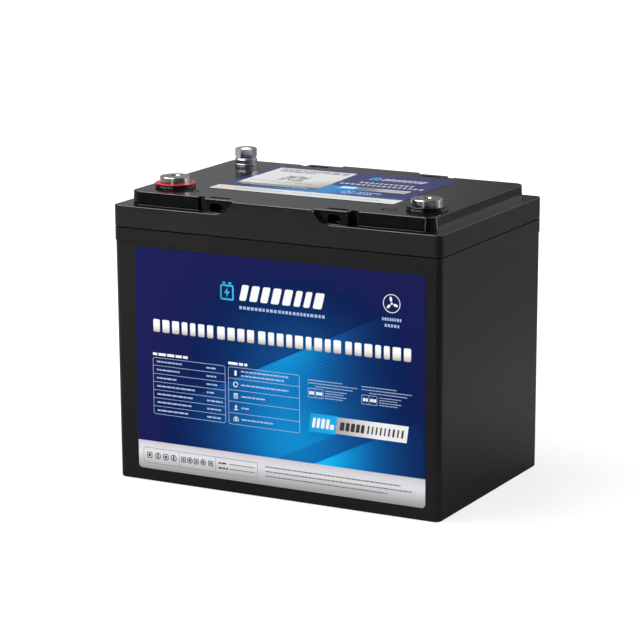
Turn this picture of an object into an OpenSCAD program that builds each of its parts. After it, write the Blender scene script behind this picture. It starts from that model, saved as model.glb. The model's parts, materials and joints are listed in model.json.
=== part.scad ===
// Deep cycle battery: a 12.8 V, 100 Ah lithium iron phosphate leisure battery in a Group 24 size case.
// Millimetres. X runs along the long side, the main label faces -Y, and Z = 0 is the underside.

/* [Case] */
// Overall width, measured across the lid
case_w = 260; // [250:1:280]
// Overall depth, measured across the lid
case_d = 168.3; // [168.3:0.1:180]
// Height of the seam between container and lid
seam_z = 185.4; // [180:0.1:190]
// Height of the ledge that runs round the lid
ledge_z = 201.1; // [199:0.1:203]
// Height of the lid's flat top, the deck
deck_z = 210.8; // [209:0.1:214]
// Radius of the upright corners
corner_r = 5; // [4:0.5:7]
// Wall thickness at the foot of the long walls
wall_t = 2.5; // [2.5:0.1:3]
// Draft of the short walls, from lid to floor
draft_x = 1; // [0.5:0.1:1.5]
// Draft of the long walls, from lid to floor
draft_y = 1.25; // [0.8:0.05:1.25]

/* [Lid] */
// Ledge width on the short sides
ledge_x = 9.7; // [8:0.1:11]
// Ledge width on the long sides
ledge_y = 8.35; // [7:0.05:9]
// Half width of the full-depth middle section, at the deck
middle_x = 31; // [28:0.5:34]
// Outer end of the rope bosses, from the middle
boss_x = 57.5; // [55:0.5:60]
// Rope hole centre, from the middle
rope_x = 46.7; // [44:0.1:48]
// Width of the oblong rope hole
rope_hole_w = 10.7; // [8:0.1:12]
// Height of the oblong rope hole
rope_hole_h = 6.8; // [5:0.1:7]
// Plate thickness of the lid
lid_t = 3; // [2.5:0.1:3.5]

/* [Terminals] */
// Terminal centre from the middle of the case, along X
terminal_x = 100.5; // [98:0.1:103]
// Terminal centre from the middle of the case, along Y
terminal_y = -45.2; // [-50:0.1:-40]
// Radius of the contact face
terminal_r = 11.1; // [10:0.1:12]
// Height of the contact face above the deck
terminal_h = 7.4; // [6:0.1:9]
// Radius of the coloured ring and its gasket
ring_r = 14.5; // [13:0.1:16]
// Radius of the tapped hole in the terminal, M8 tap drill
thread_r = 3.4; // [3.3:0.05:3.5]
// Depth of the tapped hole
thread_depth = 14; // [12:0.5:16]

/* [Vent valve] */
// Vent valve centre along X
vent_x = -102.1; // [-106:0.1:-100]
// Vent valve centre along Y
vent_y = 60.2; // [58:0.1:64]
// Width across the flats of the valve's hexagon
vent_af = 14.2; // [13:0.1:16]
// Height of the hexagon
vent_hex_h = 7.7; // [7:0.1:10]
// Height of the collar under the hexagon
vent_collar_h = 5.2; // [4:0.1:6]

/* [Labels] */
// Left edge of the front label
label_left = -112.1; // [-116:0.1:-100]
// Right edge of the front label
label_right = 118.5; // [100:0.1:120]
// Lower edge of the front label
label_low = 9.3; // [6:0.1:20]
// Upper edge of the front label
label_high = 172.5; // [150:0.1:173]

/* [Cells] */
// Thickness of a cell
cell_t = 50; // [48:0.1:50.1]
// Width of a cell
cell_w = 160; // [150:0.5:160]
// Height of a cell
cell_h = 118; // [110:1:120]
// Distance of the cell posts from the middle of the cell
post_y = 56; // [50:1:60]

/* [Hidden] */
$fn = 64;

// Case
band_h = 10;              // proud band under the seam
seam_gap = 0.9;           // open joint between lid and container
rim_z = seam_z - seam_gap / 2;
skirt_z = seam_z + seam_gap / 2;
band_z = seam_z - band_h;
floor_t = 3;
half_w = case_w / 2;
half_d = case_d / 2;
foot_x = half_w - draft_x;
foot_y = half_d - draft_y;
band_x = half_w - 0.3;    // wall just under the band
band_y = half_d - 0.55;
cavity_x = foot_x - wall_t - 0.5;
cavity_y = foot_y - wall_t;
cavity_r = 3;
tongue_t = 1.7;           // thin rim that locates the lid
tongue_h = 6.1;
tongue_z = rim_z + tongue_h;
seal_h = 1.2;
fit_gap = 0.2;            // clearance between tongue and skirt
foot_r = 1.2;             // bottom edge radius
taper_z = band_z - 1;     // upper end of the walls' draft, which starts at foot_r
band_edge_r = 0.5;        // edge radius under the container's band
rim_r = 0.6;              // edge radius round the lid's deck and ledge

// Lid
deck_w = case_w - 2 * ledge_x;
deck_d = case_d - 2 * ledge_y;
deck_r = 8;
deck_draft = 0.3;         // the deck's side walls spread by this much down to the ledge
boss_d = case_d - 8.7;    // depth across the rope bosses
notch_w = 6;              // upright notch beside each boss
notch_d = 3.4;
under_deck = deck_z - lid_t;
under_ledge = ledge_z - lid_t;
slot_w = 15.8;            // slot in the deck behind each rope hole
slot_d = 5;
slot_y = half_d - 11.15;
pocket_wall = 3;
mark_x = 78.6;            // polarity marks
mark_y = -59.2;
mark_r = 5.5;
mark_line = 1.5;
mark_depth = 0.9;

// Terminals
gasket_h = 2.3;
ring_h = 0.5;
stem_r = 8;
stem_clear = 0.15;
o_ring_t = 1.6;
fixing_nut_h = 5;
jam_nut_h = 4;
terminal_nut_af = 24;
lug_t = 2.5;
terminal_top = deck_z + terminal_h;
head_z = deck_z + gasket_h + ring_h;
lug_top = under_deck - fixing_nut_h;
lug_z = lug_top - lug_t;
stem_z = lug_z - jam_nut_h - 1.3;

// Vent valve
vent_stem_r = 6;
vent_bore_r = 4.2;
vent_hex_z = deck_z + vent_collar_h;
vent_top = vent_hex_z + vent_hex_h;
vent_low = 197;
vent_seat_z = 207;
vent_seat_h = 2;
vent_seat_r = 2.2;
poppet_z = vent_seat_z + vent_seat_h;
poppet_t = 1.6;
spring_z = poppet_z + poppet_t;
spring_end = vent_top - 2.6;
spring_wire_r = 0.22;
spring_r = 2.6;
spring_turns = 6;

// Labels
label_t = 0.25;
label_corner = 3;
lean = atan((band_y - foot_y) / (taper_z - foot_r));
top_label_box = [[-75.5, -41.4], [72.8, 62]];
top_label_t = 0.2;
sticker_t = 0.15;
sticker_outline = [[-68.9, -17], [-1.6, -17], [-5.6, 56], [-68.9, 56]];

// Cells and what holds them
gap_t = 0.8;              // insulating sheet between cells
pitch = cell_t + gap_t;
cell_x = [for (i = [0:3]) (i - 1.5) * pitch];
pad_t = 4;                // foam under the cells
cell_z = floor_t + pad_t;
cell_top = cell_z + cell_h;
stack_x = 2 * pitch - gap_t / 2;
end_plate_t = 3;
strap_t = 0.3;
strap_h = 16;
strap_out_x = stack_x + end_plate_t + strap_t;
cell_r = 3;
post_r = 9;
post_h = 3;
stud_r = 2.95;
stud_h = 13;
disc_r = 8;
disc_t = 0.6;
bus_z = cell_top + post_h;
bus_t = 2.5;
bus_w = 20;
bus_hole_r = 3.3;
carrier_t = 2.5;
nut_h = 6;
nut_af = 10;

// Battery management board
bms_y = 8;
shelf_z = 146;
shelf_t = 2.5;
standoff_h = 4;
board_z = shelf_z + shelf_t + standoff_h;
board_t = 1.6;
board_top = board_z + board_t;
mosfet_h = 4.6;
plate_t = 4;
plate_z = board_top + mosfet_h;
board_w = 124;
board_d = 78;
screw_x = 46;
screw_y = 18;
screw_r = 1.5;
lug_screw_x = 56;
lug_screw_y = [0, 16];
lug_screw_r = 2.5;

// Leads. The routes' points are chosen by hand.
lead_r = 3.3;
barrel_r = 4.6;
barrel_len = 12;
positive_route = [
    [-100.5, -28, 198.2], [-100.5, -19, 198.2], [-100.5, -13, 197.8], [-100.5, -3, 193], [-100.5, 5, 183],
    [-99, 7, 171], [-94, 3, 157], [-86, -7, 144], [-79, -20, 135], [-76.2, -30, 132.8],
    [-76.2, -36, 132.6], [-76.2, -44, 132.6]
];
negative_route = [
    [100.5, -28, 198.2], [100.5, -19, 198.2], [100.5, -13, 197.9], [100.5, -2, 194], [99.5, 8, 185],
    [95.5, 14, 173], [89, 16, 163], [82, 16, 159.2], [77, 16, 158.7], [73, 16, 158.7], [66, 16, 158.7]
];
pack_route = [
    [76.2, -44, 132.6], [76.2, -36, 132.6], [76.4, -30, 132.8], [80, -19, 137], [87, -9, 146], [87, -2, 155],
    [82, 0, 158.4], [77, 0, 158.7], [73, 0, 158.7], [66, 0, 158.7]
];
wire_r = 0.7;
sense_x = [-6, -3, 0, 3, 6, 14];
sense_z = 157;
sense_routes = [
    [[-6, 44.2, 157], [-6, 52, 157], [-12, 60, 150], [-22, 63, 140], [-31, 63, 132.5], [-38, 62.5, 131.3]],
    [[-3, 44.2, 157], [-3, 54, 158], [-20, 66, 156], [-66, 66, 152], [-98, 50, 142], [-99, 0, 136],
     [-97, -40, 134], [-90, -54, 132.5], [-82.2, -57.5, 131.3]],
    [[0, 44.2, 157], [0, 56, 157], [0, 66, 148], [0, 62, 138], [0, 50, 133], [0, 20, 133], [0, -20, 134],
     [4, -36, 133.5], [10, -46, 132.2], [13, -52, 131.3]],
    [[3, 44.2, 157], [3, 54, 158], [20, 66, 156], [66, 66, 152], [98, 50, 142], [99, 0, 136],
     [97, -40, 134], [90, -54, 132.5], [82.4, -57.5, 131.3]],
    [[6, 44.2, 157], [6, 52, 157], [12, 60, 150], [22, 63, 140], [31, 63, 132.5], [38, 62.5, 131.3]]
];
sensor_route = [
    [14, 44.2, 157], [14, 50, 156], [15, 52, 146], [20, 40, 136], [25.4, 28, 128], [25.4, 20, 126.4]
];

// ---------- helpers ----------

// Rounded rectangle from two bars and four discs, so its corners stay true arcs
module rounded(hx, hy, r) {
    square([2 * hx, 2 * (hy - r)], center = true);
    square([2 * (hx - r), 2 * hy], center = true);
    for (sx = [-1, 1], sy = [-1, 1])
        translate([sx * (hx - r), sy * (hy - r)]) circle(r);
}

module prism(hx, hy, r, z0, z1) {
    translate([0, 0, z0]) linear_extrude(z1 - z0) rounded(hx, hy, r);
}

function arc(cx, cy, r, a0, a1, n = 5) =
    [for (i = [0:n]) let (a = a0 + (a1 - a0) * i / n) [cx + r * cos(a), cy + r * sin(a)]];

// Half section of a corner post: f0 rounds its lower edge and f1 its upper edge
function post_section(r, z0, z1, f0, f1) = concat(
    [[0, z0]],
    f0 > 0 ? arc(r - f0, z0 + f0, f0, -90, 0) : [[r, z0]],
    f1 > 0 ? arc(r - f1, z1 - f1, f1, 0, 90) : [[r, z1]],
    [[0, z1]]
);

module corner_posts(hx, hy, r, z0, z1, f0, f1) {
    for (sx = [-1, 1], sy = [-1, 1])
        translate([sx * (hx - r), sy * (hy - r), 0])
            rotate_extrude($fn = 32) polygon(post_section(r, z0, z1, f0, f1));
}

// Block with rounded corners and softly rounded edges
module soft_block(hx, hy, r, z0, z1, f0, f1) {
    hull() corner_posts(hx, hy, r, z0, z1, f0, f1);
}

module mirrored_x() {
    children();
    mirror([1, 0, 0]) children();
}

module four_ways() {
    mirrored_x() {
        children();
        mirror([0, 1, 0]) children();
    }
}

module hex(af, h) {
    rotate(30) cylinder(h = h, r = af / sqrt(3), $fn = 6);
}

module nut(af, h, bore_r) {
    difference() {
        hex(af, h);
        translate([0, 0, -1]) cylinder(h = h + 2, r = bore_r);
    }
}

module ring(r_out, r_in, h) {
    difference() {
        cylinder(h = h, r = r_out);
        translate([0, 0, -1]) cylinder(h = h + 2, r = r_in);
    }
}

// Tube swept along points, as one closed polyhedron
function unit(v) = v / norm(v);
function heading(p, i) =
    i == 0 ? unit(p[1] - p[0])
    : i == len(p) - 1 ? unit(p[i] - p[i - 1])
    : unit(unit(p[i + 1] - p[i]) + unit(p[i] - p[i - 1]));
function across(n, t) = unit(n - (n * t) * t);
function side_vectors(p, first) = [
    for (i = 0, n = across(first, heading(p, 0));
         i < len(p);
         i = i + 1, n = i < len(p) ? across(n, heading(p, i)) : n) n
];

// Points on a smooth curve through p, which leaves and arrives straight
function curve_point(p, i, t) =
    let (
        a = p[max(i - 1, 0)],
        b = p[i],
        c = p[i + 1],
        d = p[min(i + 2, len(p) - 1)],
        m0 = (c - a) / 2,
        m1 = (d - b) / 2
    )
    (2 * t ^ 3 - 3 * t ^ 2 + 1) * b + (t ^ 3 - 2 * t ^ 2 + t) * m0
    + (3 * t ^ 2 - 2 * t ^ 3) * c + (t ^ 3 - t ^ 2) * m1;
function smooth(p, steps) = concat(
    [for (i = [0:len(p) - 2], k = [0:steps - 1]) curve_point(p, i, k / steps)],
    [p[len(p) - 1]]
);

module tube(p, r, sides) {
    up = abs(heading(p, 0).z) > 0.9 ? [1, 0, 0] : [0, 0, 1];
    n = side_vectors(p, up);
    rings = [
        for (i = [0:len(p) - 1], j = [0:sides - 1])
            p[i] + r * (cos(360 * j / sides) * n[i] + sin(360 * j / sides) * cross(heading(p, i), n[i]))
    ];
    walls = [
        for (i = [0:len(p) - 2], j = [0:sides - 1])
            let (k = (j + 1) % sides)
            [i * sides + j, (i + 1) * sides + j, (i + 1) * sides + k, i * sides + k]
    ];
    near_end = [for (j = [0:sides - 1]) j];
    far_end = [for (j = [sides - 1:-1:0]) (len(p) - 1) * sides + j];
    polyhedron(rings, concat(walls, [near_end, far_end]));
}

// ---------- case ----------

module container() {
    color("#2b2b2c")
    difference() {
        union() {
            hull() {
                corner_posts(foot_x, foot_y, corner_r, 0, foot_r + 1, foot_r, 0);
                corner_posts(band_x, band_y, corner_r, taper_z, band_z + 2, 0, 0);
            }
            soft_block(half_w, half_d, corner_r, band_z, rim_z, band_edge_r, 0);
            prism(cavity_x + tongue_t, cavity_y + tongue_t, cavity_r + tongue_t, rim_z - 1, tongue_z);
        }
        prism(cavity_x, cavity_y, cavity_r, floor_t, tongue_z + 1);
    }
}

// Outline of the lid's middle section: sloped ends that sweep out into the ledge
function middle_outline() =
    let (
        slope = 50,
        sweep = 10,
        run = (deck_z - ledge_z - sweep * (1 - cos(slope))) / tan(slope),
        end = middle_x + run,
        foot = end + sweep * sin(slope)
    )
    concat(
        [[middle_x, deck_z]],
        [for (a = [slope:-10:0]) [foot - sweep * sin(a), ledge_z + sweep * (1 - cos(a))]],
        [[foot, under_ledge]]
    );

module middle_section() {
    right = middle_outline();
    left = [for (i = [len(right) - 1:-1:0]) [-right[i].x, right[i].y]];
    intersection() {
        rotate([90, 0, 0]) linear_extrude(case_d + 2, center = true) polygon(concat(right, left));
        soft_block(middle_x + 20, half_d, 2, under_ledge, deck_z, 0, rim_r);
    }
}

// Block whose side walls spread towards the ledge
module drafted_block(hx, hy, r, spread_x, spread_y) {
    hull() {
        corner_posts(hx + spread_x, hy + spread_y, r, under_ledge, ledge_z, 0, 0);
        corner_posts(hx, hy, r, deck_z - 2 * rim_r, deck_z, 0, rim_r);
    }
}

module lid_cavity() {
    side_x = boss_x + notch_w + pocket_wall;
    deep_x = deck_w / 2 - lid_t;
    deep_y = deck_d / 2 - lid_t;
    pocket_y = slot_y - slot_d / 2 - pocket_wall;
    top_h = under_deck - under_ledge + 1;
    clear_x = cavity_x + tongue_t + fit_gap;
    clear_y = cavity_y + tongue_t + fit_gap;
    prism(clear_x, clear_y, cavity_r + tongue_t, skirt_z - 1, tongue_z + seal_h);
    prism(cavity_x, cavity_y, cavity_r, tongue_z, under_ledge);
    translate([0, 0, under_ledge - 1]) linear_extrude(top_h) {
        square([2 * deep_x, 2 * pocket_y], center = true);
        mirrored_x() translate([side_x, -deep_y]) square([deep_x - side_x, 2 * deep_y]);
        square([2 * (middle_x - 4), 2 * (half_d - lid_t - 0.4)], center = true);
    }
}

// Oblong rope hole through the boss wall, and the slot that opens its pocket to the deck
module rope_channel() {
    hole_z = ledge_z + rope_hole_h / 2 + 0.2;
    end_r = rope_hole_h / 2;
    reach = (rope_hole_w - rope_hole_h) / 2;
    translate([rope_x, slot_y, hole_z]) rotate([-90, 0, 0]) linear_extrude(20) {
        for (s = [-1, 1]) translate([s * reach, 0]) circle(end_r);
        square([2 * reach, 2 * end_r], center = true);
    }
    translate([rope_x - slot_w / 2, slot_y - slot_d / 2, ledge_z + 0.2]) cube([slot_w, slot_d, 20]);
}

// Upright notch beside a boss, with a half-round rib standing in it
module boss_notch() {
    difference() {
        translate([boss_x, deck_d / 2 - notch_d, ledge_z]) cube([notch_w, 20, 20]);
        translate([boss_x + notch_w - 1.8, deck_d / 2 - notch_d, ledge_z - 1]) cylinder(h = 30, r = 1.5);
    }
}

module polarity_mark(plus) {
    bar = mark_r - 2.2;
    translate([0, 0, deck_z - mark_depth]) linear_extrude(mark_depth + 1) {
        difference() {
            circle(mark_r);
            circle(mark_r - mark_line);
        }
        square([2 * bar, mark_line], center = true);
        if (plus) square([mark_line, 2 * bar], center = true);
    }
}

module lid() {
    color("#2b2b2c")
    difference() {
        union() {
            soft_block(half_w, half_d, corner_r, skirt_z, ledge_z, 0, rim_r);
            drafted_block(deck_w / 2, deck_d / 2, deck_r, deck_draft, deck_draft);
            drafted_block(boss_x, boss_d / 2, 1.6, 0, deck_draft * 0.8);
            middle_section();
        }
        lid_cavity();
        four_ways() {
            rope_channel();
            boss_notch();
        }
        mirrored_x() translate([terminal_x, terminal_y, 0]) {
            translate([0, 0, under_deck - 1]) cylinder(h = 10, r = stem_r + stem_clear);
            translate([0, 0, deck_z - o_ring_t]) cylinder(h = 5, r = stem_r + stem_clear + o_ring_t + 0.4);
        }
        translate([vent_x, vent_y, under_deck - 1]) cylinder(h = 10, r = vent_stem_r + 0.2);
        translate([-mark_x, mark_y, 0]) polarity_mark(true);
        translate([mark_x, mark_y, 0]) polarity_mark(false);
    }
}

module lid_seal() {
    color("#1a1a1a")
    difference() {
        prism(cavity_x + tongue_t, cavity_y + tongue_t, cavity_r + tongue_t, tongue_z, tongue_z + seal_h);
        prism(cavity_x, cavity_y, cavity_r, tongue_z - 1, tongue_z + seal_h + 1);
    }
}

// ---------- labels ----------

module front_label() {
    mid_x = (label_left + label_right) / 2;
    half_x = (label_right - label_left) / 2;
    low = (label_low - foot_r) / cos(lean);
    high = (label_high - foot_r) / cos(lean);
    color("#1b1f5e")
    translate([mid_x, -foot_y, foot_r]) rotate([90 + lean, 0, 0])
        translate([0, (low + high) / 2, 0]) linear_extrude(label_t)
            rounded(half_x, (high - low) / 2, label_corner);
}

module top_label() {
    size = top_label_box[1] - top_label_box[0];
    mid = (top_label_box[1] + top_label_box[0]) / 2;
    color("#20286e")
    translate([mid.x, mid.y, deck_z]) linear_extrude(top_label_t) rounded(size.x / 2, size.y / 2, 1.5);
}

module info_sticker() {
    color("#e8e8e6")
    translate([0, 0, deck_z + top_label_t]) linear_extrude(sticker_t) polygon(sticker_outline);
}

// ---------- terminals ----------

module at_terminal(side) {
    translate([side * terminal_x, terminal_y, 0]) children();
}

// Flanged post: round contact face on top, sealed stem through the lid, tapped for a stud or bolt
module terminal(side) {
    chamfer = 0.35;
    mouth = 0.7;
    color("#c9c7c2")
    at_terminal(side) difference() {
        rotate_extrude() polygon([
            [0, stem_z + 1], [stem_r - 1, stem_z], [stem_r, stem_z + 1], [stem_r, head_z],
            [terminal_r, head_z], [terminal_r, terminal_top - chamfer],
            [terminal_r - chamfer, terminal_top], [0, terminal_top]
        ]);
        translate([0, 0, terminal_top - thread_depth]) cylinder(h = thread_depth + 1, r = thread_r);
        translate([0, 0, terminal_top - mouth])
            cylinder(h = mouth + 0.01, r1 = thread_r, r2 = thread_r + mouth + 0.01);
    }
}

module terminal_ring(side) {
    lip = 0.15;
    at_terminal(side) rotate_extrude() polygon([
        [stem_r + stem_clear, head_z - ring_h], [ring_r + 0.2, head_z - ring_h],
        [ring_r + 0.2, head_z - lip], [ring_r + 0.2 - lip, head_z], [stem_r + stem_clear, head_z]
    ]);
}

// Moulded gasket with two grooves round its edge
module terminal_gasket(side) {
    outer = ring_r + 0.1;
    groove = 0.3;
    color("#141414")
    at_terminal(side) rotate_extrude() polygon(concat(
        [[stem_r + stem_clear, deck_z], [outer, deck_z]],
        [for (z = [0.8, 1.6], p = [[outer, -groove], [outer - groove, 0], [outer, groove]]) [p.x, deck_z + z + p.y]],
        [[outer, deck_z + gasket_h], [stem_r + stem_clear, deck_z + gasket_h]]
    ));
}

module terminal_o_ring(side) {
    color("#181818")
    at_terminal(side) translate([0, 0, deck_z - o_ring_t / 2])
        rotate_extrude() translate([stem_r + stem_clear + o_ring_t / 2 + 0.2, 0]) circle(o_ring_t / 2);
}

module terminal_nuts(side) {
    color("#b79a5b")
    at_terminal(side) {
        translate([0, 0, under_deck - fixing_nut_h]) nut(terminal_nut_af, fixing_nut_h, stem_r);
        translate([0, 0, lug_z - jam_nut_h]) nut(terminal_nut_af, jam_nut_h, stem_r);
    }
}

module positive_terminal() { terminal(-1); }
module negative_terminal() { terminal(1); }
module positive_ring() { color("#c8202c") terminal_ring(-1); }
module negative_ring() { color("#101010") terminal_ring(1); }
module positive_gasket() { terminal_gasket(-1); }
module negative_gasket() { terminal_gasket(1); }
module positive_o_ring() { terminal_o_ring(-1); }
module negative_o_ring() { terminal_o_ring(1); }
module positive_nuts() { terminal_nuts(-1); }
module negative_nuts() { terminal_nuts(1); }

// ---------- vent valve ----------

module at_vent() {
    translate([vent_x, vent_y, 0]) children();
}

// Hexagon head with rounded shoulders, blind bore from below and six gas outlets under the head
module vent_body() {
    corner = vent_af / sqrt(3);
    crown_r = 4.9;
    crown_slope = 15;
    crown_drop = (corner - crown_r) * tan(crown_slope);
    color("#c4c6c9")
    at_vent() difference() {
        union() {
            intersection() {
                translate([0, 0, vent_hex_z]) hex(vent_af, vent_hex_h);
                rotate_extrude() polygon([
                    [0, vent_hex_z], [vent_af / 2 + 0.2, vent_hex_z], [corner, vent_hex_z + 0.3],
                    [corner, vent_top - crown_drop], [crown_r, vent_top], [0, vent_top]
                ]);
            }
            translate([0, 0, vent_low]) cylinder(h = vent_hex_z - vent_low + 1, r = vent_stem_r);
        }
        translate([0, 0, vent_low - 1]) cylinder(h = spring_end - vent_low + 1, r = vent_bore_r);
        for (a = [30:60:150])
            rotate(a) translate([-10, -0.8, vent_hex_z]) cube([20, 1.6, 0.7]);
    }
}

// Plated flange and neck between the hexagon and the deck
module vent_collar() {
    flange_r = 8.9;
    flange_h = 1;
    neck_r = 8.4;
    shoulder_h = 1.3;
    color("#8e9093")
    at_vent() rotate_extrude() polygon([
        [vent_stem_r, deck_z], [flange_r, deck_z], [flange_r, deck_z + flange_h - 0.4],
        [flange_r - 0.4, deck_z + flange_h], [neck_r, deck_z + flange_h + 0.1],
        [neck_r, vent_hex_z - shoulder_h], [vent_af / 2 + 0.2, vent_hex_z], [vent_stem_r, vent_hex_z]
    ]);
}

module vent_nut() {
    color("#b5b7b9")
    at_vent() translate([0, 0, under_deck - 6]) rotate(30) nut(18, 6, vent_stem_r);
}

module vent_seat() {
    color("#b79a5b")
    at_vent() translate([0, 0, vent_seat_z]) ring(vent_bore_r, vent_seat_r, vent_seat_h);
}

// Disc that closes the seat, with a guide below and a spigot above for the spring
module vent_poppet() {
    color("#8d1f1f")
    at_vent() rotate_extrude() polygon([
        [0, poppet_z - 1.7], [1.5, poppet_z - 1.7], [1.9, poppet_z], [3.6, poppet_z], [3.6, spring_z],
        [1.5, spring_z], [1.2, spring_z + 2.4], [0, spring_z + 2.4]
    ]);
}

module vent_spring() {
    rise = spring_end - spring_z - 2 * spring_wire_r - 0.02;
    steps = 14 * spring_turns;
    coil = [
        for (i = [0:steps])
            let (a = 360 * spring_turns * i / steps)
            [vent_x + spring_r * cos(a), vent_y + spring_r * sin(a),
             spring_z + spring_wire_r + 0.01 + rise * i / steps]
    ];
    color("#d0d0d0") tube(coil, spring_wire_r, 8);
}

module vent_membrane() {
    color("#f2f2ee")
    at_vent() translate([0, 0, vent_seat_z - 0.3]) cylinder(h = 0.3, r = vent_bore_r - 0.05);
}

// ---------- cells ----------

module cell(i) {
    color("#2f63a8")
    translate([cell_x[i], 0, 0]) difference() {
        prism(cell_t / 2, cell_w / 2, cell_r, cell_z, cell_top);
        translate([0, 0, cell_top - disc_t]) cylinder(h = 2, r = disc_r);
    }
}

module cell_1() { cell(0); }
module cell_2() { cell(1); }
module cell_3() { cell(2); }
module cell_4() { cell(3); }

module at_posts() {
    for (x = cell_x, s = [-1, 1]) translate([x, s * post_y, 0]) children();
}

module cell_posts() {
    color("#d5d6d8")
    at_posts() {
        translate([0, 0, cell_top]) cylinder(h = post_h, r = post_r);
        translate([0, 0, cell_top + post_h - 0.5]) cylinder(h = stud_h + 0.5, r = stud_r);
    }
}

module cell_burst_discs() {
    color("#c0c4c8")
    for (x = cell_x) translate([x, 0, cell_top - disc_t]) cylinder(h = disc_t, r = disc_r);
}

module cell_separators() {
    color("#d9cfa6")
    for (i = [-1:1])
        translate([i * pitch - gap_t / 2, -cell_w / 2 + 1, cell_z]) cube([gap_t, cell_w - 2, cell_h - 2]);
}

module end_plates() {
    color("#c8b560")
    mirrored_x() translate([stack_x, -cell_w / 2 + 0.5, cell_z]) cube([end_plate_t, cell_w - 1, cell_h - 4]);
}

module strap(z) {
    inner_x = stack_x + end_plate_t;
    inner_y = cell_w / 2;
    color("#a9acb0")
    translate([0, 0, z]) linear_extrude(strap_h) difference() {
        square([2 * (inner_x + strap_t), 2 * (inner_y + strap_t)], center = true);
        square([2 * inner_x, 2 * inner_y], center = true);
    }
}

module strap_lower() { strap(cell_z + 18); }
module strap_upper() { strap(cell_z + 80); }

module base_pad() {
    color("#3c3c3e")
    translate([-strap_out_x, -cavity_y + 1, floor_t]) cube([2 * strap_out_x, 2 * cavity_y - 2, pad_t]);
}

module side_pad(side) {
    gap = 0.2;
    width = cavity_x - strap_out_x - 2 * gap;
    color("#46464a")
    translate([side * (strap_out_x + gap + width / 2), 0, 0])
        prism(width / 2, cavity_y - 4, 2, floor_t, cell_top + 20);
}

module side_pad_left() { side_pad(-1); }
module side_pad_right() { side_pad(1); }

// Moulded tray on the cells, with windows for the posts and burst discs
module busbar_carrier() {
    fence = 1.2;
    fence_h = 3;
    fence_x = stack_x - 4;
    color("#e6e2d2")
    difference() {
        union() {
            prism(stack_x - 2, cell_w / 2 - 4, 4, cell_top, cell_top + carrier_t);
            for (s = [-1, 1])
                translate([-fence_x, s * (post_y - 15) - fence / 2, cell_top])
                    cube([2 * fence_x, fence, carrier_t + fence_h]);
        }
        at_posts() translate([0, 0, cell_top - 1]) cylinder(h = 8, r = post_r + 0.6);
        for (x = cell_x) translate([x, 0, cell_top - 1]) cylinder(h = 8, r = disc_r + 3);
        translate([0, 0, cell_top + carrier_t]) for (x = [cell_x[0], cell_x[3]])
            translate([x - 7, -post_y, 0]) cube([14, 40, 10]);
        translate([-3, -post_y, cell_top + carrier_t]) cube([6, 2 * post_y, 10]);
        translate([cell_x[2] - 3, 8, cell_top - 1]) cube([6, 30, 8]);
    }
}

// Series link with a raised loop in the middle that takes up cell movement
module busbar(mid_x, side) {
    half = pitch / 2 + bus_w / 2;
    loop_r = 4;
    color("#b87333")
    translate([mid_x, side * post_y, bus_z]) difference() {
        rotate([90, 0, 0]) linear_extrude(bus_w, center = true) difference() {
            union() {
                translate([-half, 0]) square([2 * half, bus_t]);
                intersection() {
                    circle(loop_r + bus_t);
                    translate([-half, 0]) square([2 * half, half]);
                }
            }
            circle(loop_r);
        }
        for (s = [-1, 1]) translate([s * pitch / 2, 0, -1]) cylinder(h = 9, r = bus_hole_r);
    }
}

module busbar_1() { busbar(-pitch, 1); }
module busbar_2() { busbar(0, -1); }
module busbar_3() { busbar(pitch, 1); }

module post_nuts() {
    color("#c9ccd0")
    at_posts() translate([0, 0, bus_z + bus_t]) nut(nut_af, nut_h, stud_r);
}

// ---------- battery management board ----------

module at_bms_screws() {
    for (sx = [-1, 1], sy = [-1, 1]) translate([sx * screw_x, bms_y + sy * screw_y, 0]) children();
}

module bms_bracket() {
    leg = 6;
    leg_x = board_w / 2 - 6;
    leg_y = board_d / 2 - 12;
    color("#2e2e30")
    difference() {
        union() {
            translate([0, bms_y, 0]) {
                prism(board_w / 2, board_d / 2, 4, shelf_z, shelf_z + shelf_t);
                for (sx = [-1, 1], sy = [-1, 1])
                    translate([sx * leg_x, sy * leg_y, 0])
                        prism(leg / 2, leg / 2, 1, cell_top + carrier_t, shelf_z + 1);
            }
            at_bms_screws() translate([0, 0, shelf_z]) cylinder(h = shelf_t + standoff_h, r = 3.5);
        }
        at_bms_screws() translate([0, 0, shelf_z - 1]) cylinder(h = 12, r = screw_r);
        for (x = [-24:16:24]) translate([x - 5, bms_y - 12, shelf_z - 1]) cube([10, 24, 8]);
    }
}

module bms_board() {
    color("#1d5c33")
    difference() {
        translate([0, bms_y, 0]) prism(board_w / 2 - 2, board_d / 2 - 2, 2, board_z, board_top);
        at_bms_screws() translate([0, 0, board_z - 1]) cylinder(h = 4, r = screw_r + 0.1);
        for (y = lug_screw_y) translate([lug_screw_x, y, board_z - 1]) cylinder(h = 4, r = lug_screw_r + 0.05);
    }
}

module bms_mosfets() {
    color("#1a1a1c")
    for (i = [0:7], s = [-1, 1])
        translate([-38.5 + i * 10, bms_y + s * 8 - 5, board_top]) cube([7, 10, mosfet_h]);
}

// Aluminium plate pressed on the transistors, with low fins
module bms_heat_plate() {
    fin_h = 5;
    color("#b9bdc2")
    difference() {
        union() {
            translate([0, bms_y, 0]) prism(screw_x + 5, screw_y + 5, 2, plate_z, plate_z + plate_t);
            for (i = [-4:4])
                translate([-screw_x + 8, bms_y + i * 3 - 0.6, plate_z + plate_t - 1])
                    cube([2 * screw_x - 16, 1.2, fin_h + 1]);
        }
        at_bms_screws() translate([0, 0, plate_z - 1]) cylinder(h = 12, r = screw_r + 0.1);
    }
}

module bms_screws() {
    color("#caccd0")
    at_bms_screws() {
        translate([0, 0, shelf_z + 1]) cylinder(h = plate_z + plate_t - shelf_z, r = screw_r);
        translate([0, 0, plate_z + plate_t]) cylinder(h = 2.2, r = 2.8);
    }
}

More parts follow.
